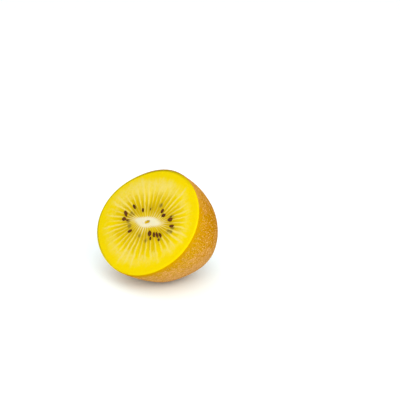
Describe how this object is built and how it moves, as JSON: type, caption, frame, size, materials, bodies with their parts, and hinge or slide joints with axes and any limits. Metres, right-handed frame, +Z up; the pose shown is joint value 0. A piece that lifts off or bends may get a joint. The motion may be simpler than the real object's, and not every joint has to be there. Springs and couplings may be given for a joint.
{
  "type": "golden kiwi fruit half",
  "caption": "Half of a golden kiwi fruit, cut across its middle and lying on its skin, with the yellow cut face, pale core, rays and dark seeds turned up.",
  "frame": {"origin": "middle of the small flat spot under the fruit that it rests on", "axes": "+Z up; the cut face looks towards -Y and up, at 34.4 degrees above level; +X to the right along the face as seen from -Y; the stem end points to +Y and down"},
  "size_m": [0.0539, 0.0442, 0.0467],
  "materials": {
    "flesh": "wet yellow fruit flesh with fine pale rays, soft gloss",
    "skin": "smooth thin fruit skin, tan to orange with fine lighter specks, dull sheen",
    "core": "dense cream-white fruit core, moist",
    "seed": "dark brown-purple seeds, wet and glossy",
    "stem_scar": "dry corky scar where the stalk broke off"
  },
  "bodies": {
    "root": {"kiwi_half": "flesh"}
  },
  "joints": []
}
